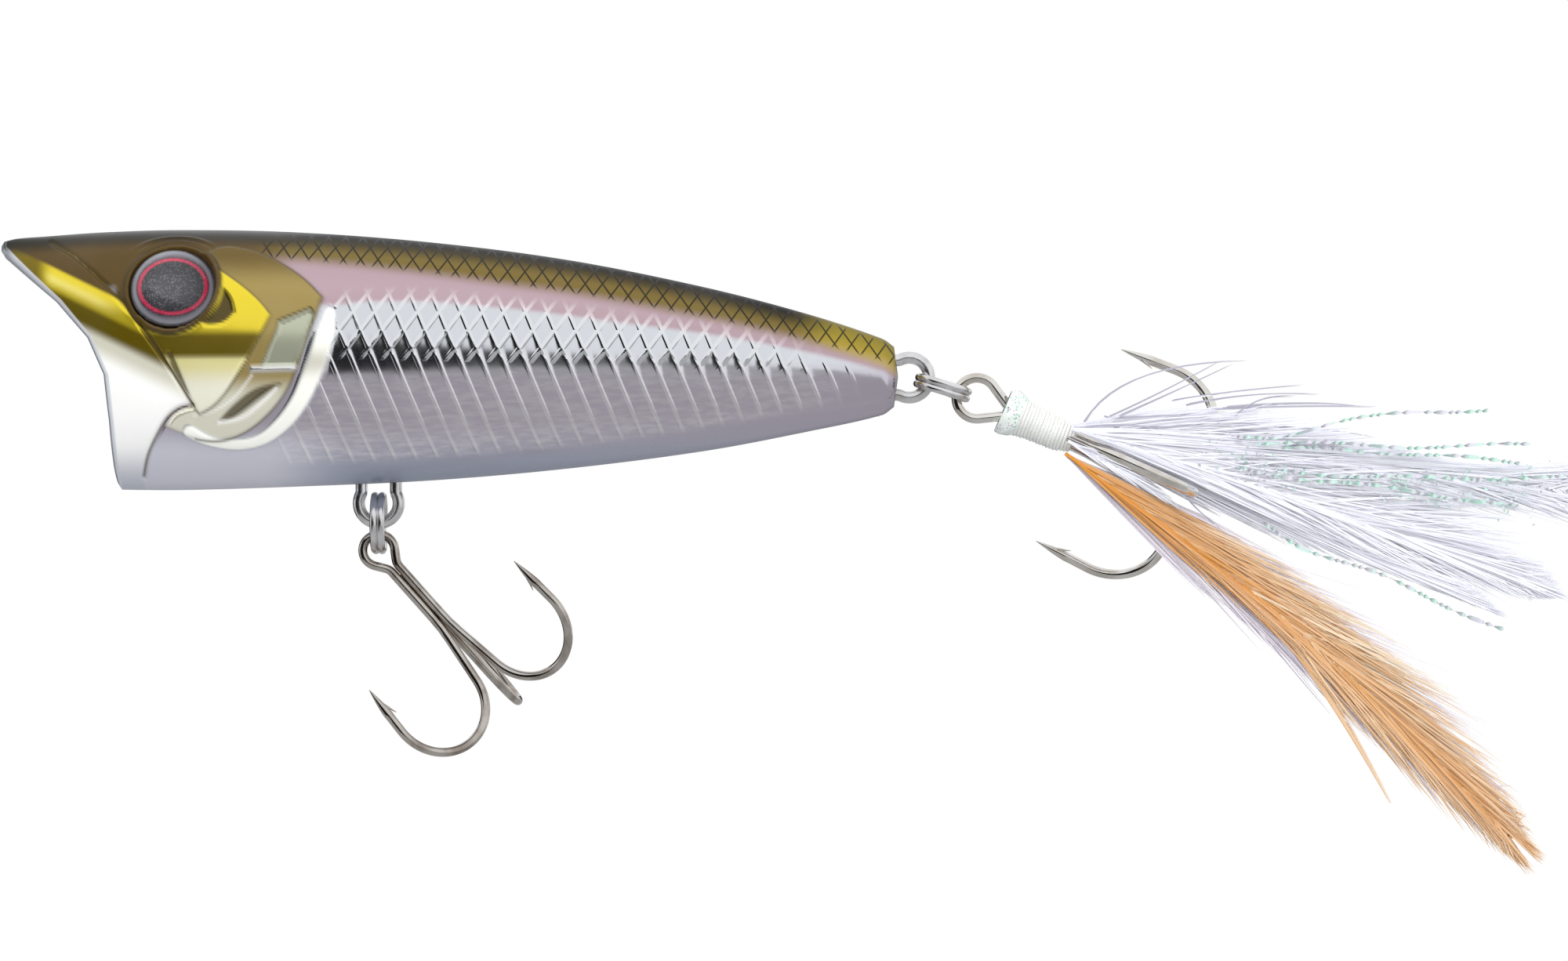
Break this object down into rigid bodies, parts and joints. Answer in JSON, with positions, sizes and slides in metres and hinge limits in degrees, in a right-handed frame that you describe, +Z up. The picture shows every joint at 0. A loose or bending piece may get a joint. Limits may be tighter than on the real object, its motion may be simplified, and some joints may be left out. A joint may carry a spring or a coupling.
{
  "type": "topwater popper lure",
  "caption": "Hollow fishing lure body with a cupped mouth, domed eyes and wire hangers, swinging belly and tail treble hooks on split rings, and a feathered tail.",
  "frame": {"origin": "centre of the line tie's hole, inside the mouth cup", "axes": "-X towards the nose and +X towards the tail, +Z up when the lure swims, the left side faces -Y"},
  "size_m": [0.1431, 0.0225, 0.0558],
  "materials": {
    "clear_shell": "clear polycarbonate, painted inside and out, gloss",
    "silver_foil": "hot-stamped mirror foil",
    "clear_lens": "clear domed resin",
    "red_foil": "printed metallic foil",
    "steel_wire": "satin stainless spring wire",
    "brass_weight": "plain turned brass",
    "tube_plastic": "plain moulded styrene",
    "steel_ball": "polished ball",
    "dark_nickel": "polished black nickel plate",
    "bright_nickel": "polished bright nickel plate",
    "thread": "waxed white whipping thread under clear varnish",
    "white_feather": "natural white hackle",
    "tan_feather": "dyed tan hackle",
    "pale_feather": "natural pale hackle",
    "pearl_tinsel": "pearl plastic film cut in strands"
  },
  "bodies": {
    "lure_body": {"left_shell": "clear_shell", "right_shell": "clear_shell", "left_foil": "silver_foil", "right_foil": "silver_foil", "left_eye_lens": "clear_lens", "right_eye_lens": "clear_lens", "left_eye_disc": "red_foil", "right_eye_disc": "red_foil", "line_tie": "steel_wire", "belly_hanger": "steel_wire", "tail_hanger": "steel_wire", "tail_weight": "brass_weight", "rattle_tube": "tube_plastic", "rattle_cap": "tube_plastic"},
    "rattle": {"rattle_ball": "steel_ball"},
    "belly_ring": {"belly_split_ring": "steel_wire"},
    "belly_hook": {"belly_hook_pair": "dark_nickel", "belly_hook_single": "dark_nickel"},
    "tail_ring": {"tail_split_ring": "steel_wire"},
    "tail_hook": {"tail_hook_pair": "bright_nickel", "tail_hook_single": "bright_nickel", "thread_wrap": "thread", "upper_white_feather": "white_feather", "middle_white_feather": "white_feather", "lower_white_feather": "white_feather", "tan_feather": "tan_feather", "pale_under_feather": "pale_feather", "tinsel_strands": "pearl_tinsel"}
  },
  "joints": [
    {"name": "belly_ring_swing", "type": "hinge", "parent": "lure_body", "child": "belly_ring", "pos_m": [0.0192, 0, -0.0136], "axis": [1, 0, 0], "range_deg": [-50, 50]},
    {"name": "belly_hook_swing", "type": "hinge", "parent": "belly_ring", "child": "belly_hook", "pos_m": [0.0192, 0, -0.016], "axis": [0, 1, 0], "range_deg": [-20, 100]},
    {"name": "tail_ring_swing", "type": "hinge", "parent": "lure_body", "child": "tail_ring", "pos_m": [0.06751, 0, -0.00132], "axis": [0.2924, 0, 0.9563], "range_deg": [-75, 75]},
    {"name": "tail_hook_swing", "type": "hinge", "parent": "tail_ring", "child": "tail_hook", "pos_m": [0.07179, 0, -0.00263], "axis": [0, 1, 0], "range_deg": [-70, 80]},
    {"name": "rattle_roll", "type": "slide", "parent": "lure_body", "child": "rattle", "axis": [1, 0, 0], "range_m": [-0.0035, 0.0035]}
  ]
}
